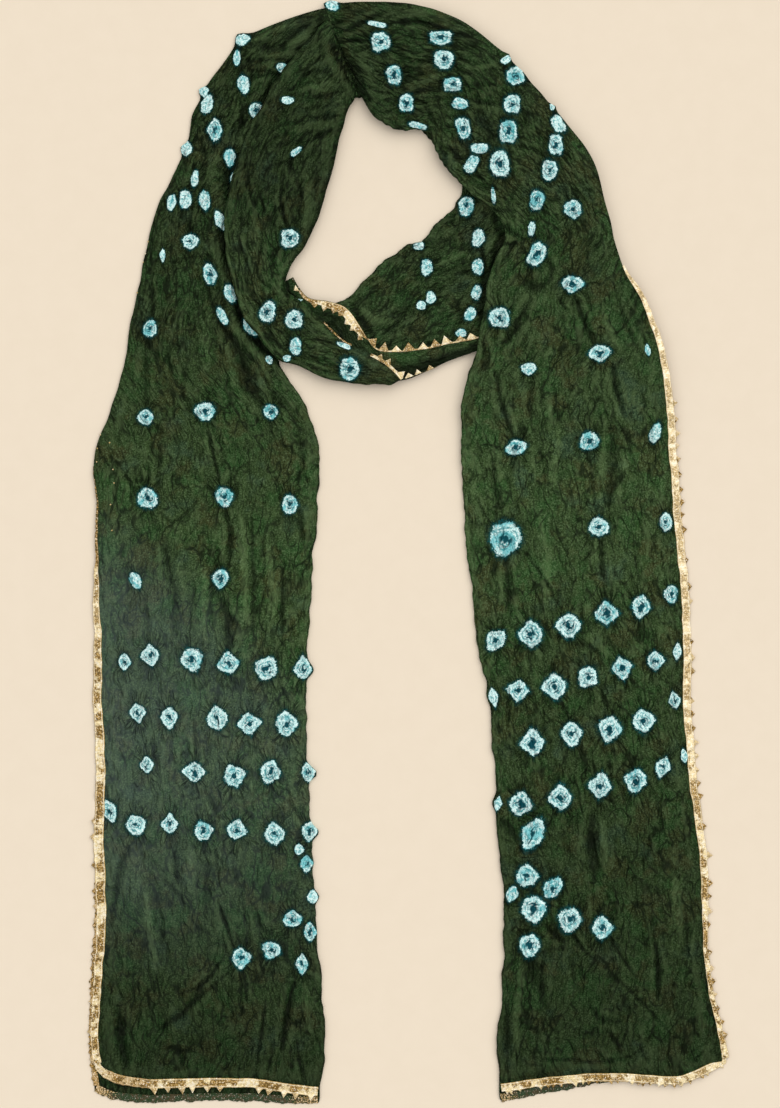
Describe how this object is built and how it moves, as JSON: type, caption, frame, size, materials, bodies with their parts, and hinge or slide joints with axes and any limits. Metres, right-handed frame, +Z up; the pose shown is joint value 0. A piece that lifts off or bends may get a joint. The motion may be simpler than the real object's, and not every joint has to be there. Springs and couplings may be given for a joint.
{
  "type": "dupatta stole",
  "caption": "Crinkled silk dupatta stole with tie-dyed dots and a toothed gold edging, folded in half along its length and laid flat in one open turn with two tails.",
  "frame": {"origin": "middle of the stole's footprint, on the surface that it lies on", "axes": "+X towards the tail that lies on top, +Y from the hems towards the neck turn, +Z up from the surface"},
  "size_m": [0.4824, 0.8278, 0.0127],
  "materials": {
    "silk": "crinkled silk with a soft sheen",
    "gota": "gold metallic ribbon"
  },
  "bodies": {
    "root": {"chin_back_ply": "silk", "left_back_hem_tape": "gota", "left_back_side_tape": "gota", "left_band": "silk", "left_hem_tape": "gota", "left_rise": "silk", "left_side_tape": "gota", "left_tail": "silk", "neck_back_tape": "gota", "neck_front_tape": "gota", "neck_front_tape_left": "gota", "neck_turned_tape": "gota", "right_back_hem_tape": "gota", "right_hem_tape": "gota", "right_side_tape": "gota", "right_tail": "silk", "top_band": "silk", "under_loop": "silk"}
  },
  "joints": []
}
